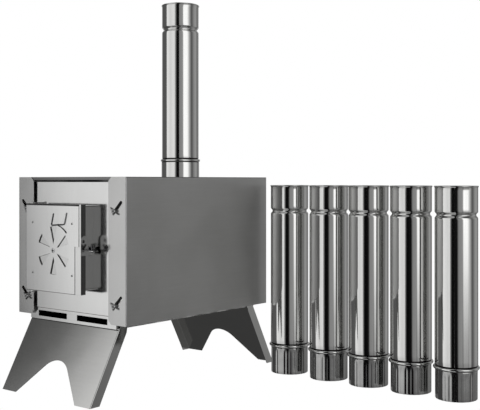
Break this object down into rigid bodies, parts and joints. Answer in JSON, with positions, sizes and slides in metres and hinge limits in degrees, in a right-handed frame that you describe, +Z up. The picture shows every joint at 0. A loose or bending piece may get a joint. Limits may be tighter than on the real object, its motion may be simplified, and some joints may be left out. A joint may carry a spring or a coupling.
{
  "type": "tent wood stove",
  "caption": "Knock-down stainless tent wood stove with folding legs, a hinged door with an air damper, a mounted flue section and loose flue sections.",
  "frame": {"origin": "on the ground, below the middle of the bounding box of the whole set", "axes": "+Z up along the flue, -Y out of the stove's door, +X from the stove towards the loose flue sections"},
  "size_m": [0.8174, 0.561, 0.811],
  "materials": {
    "brushed_sheet": "brushed stainless sheet, 1 mm",
    "polished_flue": "polished thin stainless tube with rolled beads",
    "dark_leg_sheet": "brushed stainless sheet, 1.2 mm",
    "grate_sheet": "stainless sheet, dull from heat",
    "fastener_steel": "zinc-plated and stainless fasteners",
    "wire_steel": "drawn steel wire"
  },
  "bodies": {
    "stove": {"side_panel_left": "brushed_sheet", "side_panel_right": "brushed_sheet", "top_panel": "brushed_sheet", "front_plate": "brushed_sheet", "rear_plate": "brushed_sheet", "floor_rails": "brushed_sheet", "grate": "grate_sheet", "ash_tray": "brushed_sheet", "tray_rivets": "fastener_steel", "flue_collar": "polished_flue", "front_studs": "fastener_steel", "rear_studs": "fastener_steel", "front_wing_nuts": "fastener_steel", "rear_wing_nuts": "fastener_steel", "door_frame": "brushed_sheet", "hinge_fixed_leaf": "brushed_sheet", "hinge_pin": "wire_steel", "front_leg_pivots": "fastener_steel", "rear_leg_pivots": "fastener_steel"},
    "door": {"door_lid": "brushed_sheet", "door_face_plate": "brushed_sheet", "hinge_door_leaf": "brushed_sheet", "damper_rivet": "fastener_steel", "latch_bracket": "brushed_sheet", "latch_rivet": "fastener_steel", "latch_bolt": "fastener_steel", "latch_wing_nut": "fastener_steel"},
    "damper": {"damper_disc": "brushed_sheet", "damper_handle": "wire_steel"},
    "latch_lever": {"latch_lever": "wire_steel"},
    "front_leg": {"front_leg": "dark_leg_sheet"},
    "rear_leg": {"rear_leg": "dark_leg_sheet"},
    "mounted_flue": {"flue_section": "polished_flue"},
    "loose_flue_1": {"loose_section_1": "polished_flue"},
    "loose_flue_2": {"loose_section_2": "polished_flue"},
    "loose_flue_3": {"loose_section_3": "polished_flue"},
    "loose_flue_4": {"loose_section_4": "polished_flue"},
    "loose_flue_5": {"loose_section_5": "polished_flue"}
  },
  "joints": [
    {"name": "door_hinge", "type": "hinge", "parent": "stove", "child": "door", "pos_m": [-0.34955, -0.229, 0.283], "axis": [0, 0, -1], "range_deg": [0, 120]},
    {"name": "damper_turn", "type": "hinge", "parent": "door", "child": "damper", "pos_m": [-0.26365, -0.2434, 0.281], "axis": [0, 1, 0], "range_deg": [0, 30]},
    {"name": "latch_turn", "type": "hinge", "parent": "door", "child": "latch_lever", "pos_m": [-0.16705, -0.229, 0.285], "axis": [0, 0, 1], "range_deg": [-8, 8]},
    {"name": "front_leg_fold", "type": "hinge", "parent": "stove", "child": "front_leg", "pos_m": [-0.24965, -0.193, 0.143], "axis": [1, 0, 0], "range_deg": [0, 118.5]},
    {"name": "rear_leg_fold", "type": "hinge", "parent": "stove", "child": "rear_leg", "pos_m": [-0.24965, 0.193, 0.143], "axis": [-1, 0, 0], "range_deg": [0, 118.5]},
    {"name": "flue_lift", "type": "slide", "parent": "stove", "child": "mounted_flue", "axis": [0, 0, 1], "range_m": [0, 0.12]},
    {"name": "loose_lift_1", "type": "slide", "parent": "stove", "child": "loose_flue_1", "axis": [0, 0, 1], "range_m": [0, 0.1]},
    {"name": "loose_lift_2", "type": "slide", "parent": "stove", "child": "loose_flue_2", "axis": [0, 0, 1], "range_m": [0, 0.1]},
    {"name": "loose_lift_3", "type": "slide", "parent": "stove", "child": "loose_flue_3", "axis": [0, 0, 1], "range_m": [0, 0.1]},
    {"name": "loose_lift_4", "type": "slide", "parent": "stove", "child": "loose_flue_4", "axis": [0, 0, 1], "range_m": [0, 0.1]},
    {"name": "loose_lift_5", "type": "slide", "parent": "stove", "child": "loose_flue_5", "axis": [0, 0, 1], "range_m": [0, 0.1]}
  ]
}
